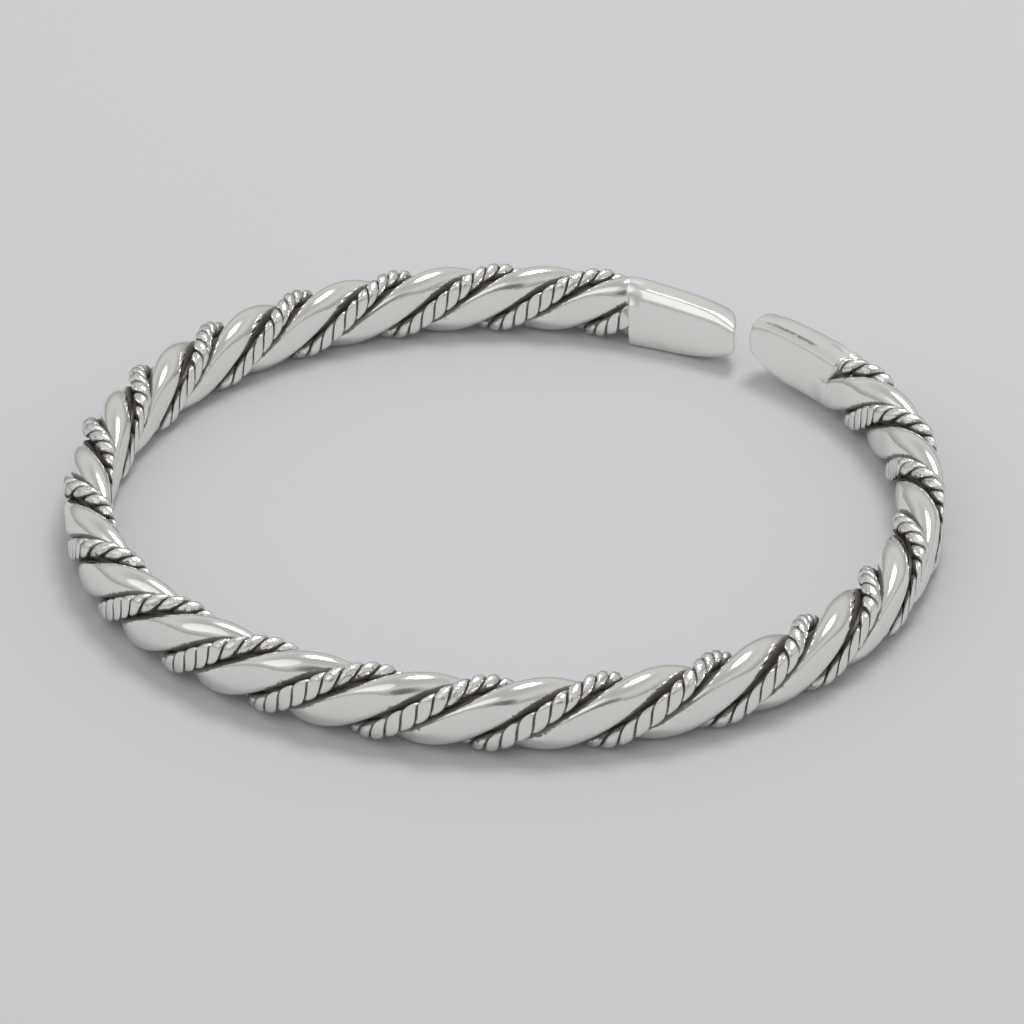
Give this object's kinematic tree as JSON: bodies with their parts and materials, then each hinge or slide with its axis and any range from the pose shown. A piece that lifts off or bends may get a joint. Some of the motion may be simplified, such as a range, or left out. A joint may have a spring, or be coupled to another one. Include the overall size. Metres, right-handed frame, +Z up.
{
  "type": "braided bracelet",
  "caption": "Open cuff bracelet of smooth and rope wires twisted together, pressed flat inside and out, with a flat terminal on either side of the gap.",
  "frame": {"origin": "middle of the bracelet's outline, at the height of the surface that it lies on", "axes": "+Z up through the wrist opening, +Y from the middle of the wrist towards the gap between the terminals"},
  "size_m": [0.0664, 0.0648, 0.0055],
  "materials": {
    "smooth_wire": "polished silver, darkened in the grooves",
    "rope_wire": "polished silver with dark oxide between the fine wires",
    "terminal": "polished silver with fine scratches"
  },
  "bodies": {
    "root": {"smooth_wire_1": "smooth_wire", "smooth_wire_2": "smooth_wire", "rope_wire_1": "rope_wire", "rope_wire_2": "rope_wire", "left_terminal": "terminal", "right_terminal": "terminal"}
  },
  "joints": []
}
